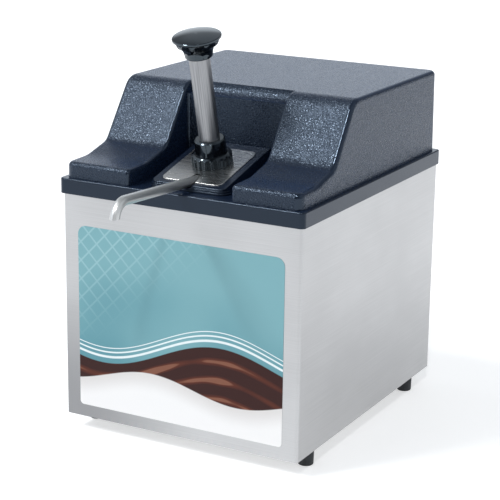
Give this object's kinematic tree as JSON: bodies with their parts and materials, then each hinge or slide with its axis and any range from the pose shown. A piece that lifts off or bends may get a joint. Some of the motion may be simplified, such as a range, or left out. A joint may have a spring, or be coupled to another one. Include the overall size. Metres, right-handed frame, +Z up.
{
  "type": "hot fudge topping warmer",
  "caption": "Counter-top warmer for hot topping: stainless cabinet on feet, black lift-off hood, and a leaning hand pump with a slim bent-tip spout in front.",
  "frame": {"origin": "on the counter, under the middle of the whole object's plan, spout and cord gland included", "axes": "+Z up, +Y to the back (the spout points along -Y), +X to the right seen from the front"},
  "size_m": [0.272, 0.4526, 0.418],
  "materials": {
    "stainless_sheet": "satin",
    "galvanised_sheet": "satin",
    "label_print": "gloss",
    "foot_rubber": "matte",
    "zinc_fasteners": "satin",
    "black_grained_plastic": "matte",
    "black_gloss_plastic": "gloss",
    "stainless_tube": "satin",
    "glass_fibre": "matte",
    "silicone_orange": "matte",
    "aluminium_plate": "satin",
    "phenolic": "matte",
    "nylon_natural": "matte",
    "lead_sleeving": "matte",
    "nylon_black": "matte",
    "acetal_white": "matte",
    "seal_silicone": "matte",
    "ball_steel": "polished",
    "spring_steel": "bright",
    "rocker_red": "gloss"
  },
  "bodies": {
    "cabinet": {"cabinet_shell": "stainless_sheet", "rear_panel": "stainless_sheet", "base_pan": "galvanised_sheet", "front_label": "label_print", "foot_front_left": "foot_rubber", "foot_front_right": "foot_rubber", "foot_rear_left": "foot_rubber", "foot_rear_right": "foot_rubber", "foot_screws": "zinc_fasteners", "foot_nuts": "zinc_fasteners", "rear_screws": "zinc_fasteners", "deck_screws": "zinc_fasteners", "heated_well": "stainless_sheet", "well_insulation": "glass_fibre", "heater_blanket": "silicone_orange", "heater_plate": "aluminium_plate", "thermostat": "phenolic", "thermal_cutout": "phenolic", "terminal_block": "nylon_natural", "terminal_screws": "zinc_fasteners", "heater_leads": "lead_sleeving", "thermostat_leads": "lead_sleeving", "supply_leads": "lead_sleeving", "gland_body": "nylon_black", "gland_cap": "nylon_black", "gland_seal": "foot_rubber", "gland_locknut": "nylon_black", "switch_housing": "nylon_black", "top_deck": "black_grained_plastic"},
    "hood_body": {"hood": "black_grained_plastic"},
    "pump_insert": {"pump_surround": "black_grained_plastic", "pump_plate": "stainless_sheet", "plate_nuts": "zinc_fasteners", "pump_cylinder": "stainless_tube", "cylinder_o_ring": "seal_silicone", "plunger_guide": "black_gloss_plastic", "guide_seal": "seal_silicone", "valve_block": "acetal_white", "spring_seat": "acetal_white", "inlet_fitting": "acetal_white", "inlet_o_ring": "seal_silicone", "spout_tube": "stainless_tube", "return_spring": "spring_steel"},
    "plunger": {"plunger_tube": "stainless_tube", "plunger_knob": "black_gloss_plastic", "tube_plug": "acetal_white", "piston": "acetal_white", "piston_seal": "seal_silicone"},
    "collar": {"lock_collar": "black_gloss_plastic"},
    "inlet_valve": {"inlet_ball": "ball_steel"},
    "outlet_valve": {"outlet_ball": "ball_steel"},
    "rocker": {"switch_rocker": "rocker_red"}
  },
  "joints": [
    {"name": "hood_lift", "type": "slide", "parent": "cabinet", "child": "hood_body", "axis": [0, 0, 1], "range_m": [0, 0.2]},
    {"name": "pump_lift", "type": "slide", "parent": "cabinet", "child": "pump_insert", "axis": [0, -0.2419, 0.9703], "range_m": [0, 0.2]},
    {"name": "pump_stroke", "type": "slide", "parent": "pump_insert", "child": "plunger", "axis": [0, 0.2419, -0.9703], "range_m": [0, 0.06], "stiffness_N_per_m": 200, "springref_m": -0.03, "deforming": ["return_spring"]},
    {"name": "collar_turn", "type": "hinge", "parent": "pump_insert", "child": "collar", "pos_m": [0, -0.04572, 0.2838], "axis": [0, -0.2419, 0.9703], "range_deg": [0, 90]},
    {"name": "inlet_ball_lift", "type": "slide", "parent": "pump_insert", "child": "inlet_valve", "axis": [0, -0.2419, 0.9703], "range_m": [0, 0.004]},
    {"name": "outlet_ball_lift", "type": "slide", "parent": "pump_insert", "child": "outlet_valve", "axis": [0, -0.2419, 0.9703], "range_m": [0, 0.0025]},
    {"name": "switch_tip", "type": "hinge", "parent": "cabinet", "child": "rocker", "pos_m": [0.062, 0.20968, 0.0606], "axis": [-1, 0, 0], "range_deg": [0, 16]}
  ]
}
